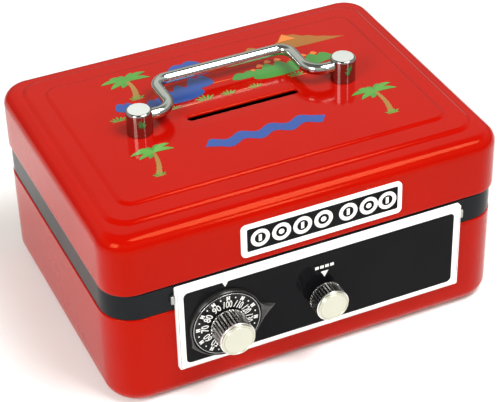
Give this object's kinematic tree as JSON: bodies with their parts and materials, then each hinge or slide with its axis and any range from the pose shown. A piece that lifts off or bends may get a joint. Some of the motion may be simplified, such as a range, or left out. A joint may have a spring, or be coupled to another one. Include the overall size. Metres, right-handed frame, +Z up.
{
  "type": "toy safe coin bank",
  "caption": "Small pressed steel cash box bank with a hinged lid, coin slot, folding wire handle, number dial and push-button catch.",
  "frame": {"origin": "centre of the flat underside, under the middle of the box outline", "axes": "+X along the front to the right, +Y towards the hinge at the back, +Z up"},
  "size_m": [0.16, 0.1406, 0.0868],
  "materials": {
    "red_enamel": "glossy red baked enamel on steel sheet",
    "black_enamel": "satin black enamel",
    "white_plastic": "glossy white",
    "black_gloss": "glossy black",
    "black_dial": "satin black with white numbers",
    "chrome": "polished chrome",
    "cap_metal": "fine turned face",
    "steel": "plain zinc-plated steel",
    "spring_steel": "spring wire",
    "rivet_steel": "smooth",
    "grey_steel": "dull grey"
  },
  "bodies": {
    "base": {"base_shell": "red_enamel", "rim_collar": "black_enamel", "panel_frame": "white_plastic", "panel_face": "black_gloss", "panel_clips": "grey_steel", "dial_ring": "black_gloss", "lock_housing": "steel", "lock_rivets": "rivet_steel", "latch_pin": "steel", "hinge_base_leaf": "steel", "hinge_pin": "steel", "hinge_base_rivets": "rivet_steel"},
    "dial": {"dial_disc": "black_dial", "dial_knob": "chrome", "dial_cap": "cap_metal", "dial_spindle": "steel", "cam_disc": "steel", "spindle_clip": "spring_steel"},
    "button": {"push_knob": "chrome", "push_cap": "cap_metal", "push_shaft": "steel", "push_collar": "steel", "push_spring": "spring_steel"},
    "latch": {"latch_lever": "steel"},
    "lid": {"lid_shell": "red_enamel", "label_frame": "white_plastic", "label_face": "black_gloss", "lid_striker": "steel", "striker_rivets": "rivet_steel", "handle_post_left": "chrome", "handle_post_right": "chrome", "handle_washers": "steel", "handle_screws": "steel", "hinge_lid_leaf": "steel", "hinge_lid_rivets": "rivet_steel"},
    "handle": {"handle_bail": "chrome"}
  },
  "joints": [
    {"name": "lid_hinge", "type": "hinge", "parent": "base", "child": "lid", "pos_m": [0, 0.0633, 0.0512], "axis": [-1, 0, 0], "range_deg": [0, 100]},
    {"name": "handle_swing", "type": "hinge", "parent": "lid", "child": "handle", "pos_m": [0, 0, 0.0832], "axis": [1, 0, 0], "range_deg": [0, 180]},
    {"name": "dial_turn", "type": "hinge", "parent": "base", "child": "dial", "pos_m": [-0.0372, -0.0644, 0.03], "axis": [0, 1, 0], "continuous": true},
    {"name": "button_push", "type": "slide", "parent": "base", "child": "button", "axis": [0, 1, 0], "range_m": [0, 0.0025], "stiffness_N_per_m": 400, "springref_m": -0.0005, "deforming": ["push_spring"]},
    {"name": "latch_swing", "type": "hinge", "parent": "base", "child": "latch", "pos_m": [0.0022, -0.051, 0.042], "axis": [1, 0, 0], "range_deg": [0, 12.1]}
  ],
  "couplings": [
    {"joint": "latch_swing", "follows": "button_push", "rad_per_m": 84}
  ]
}
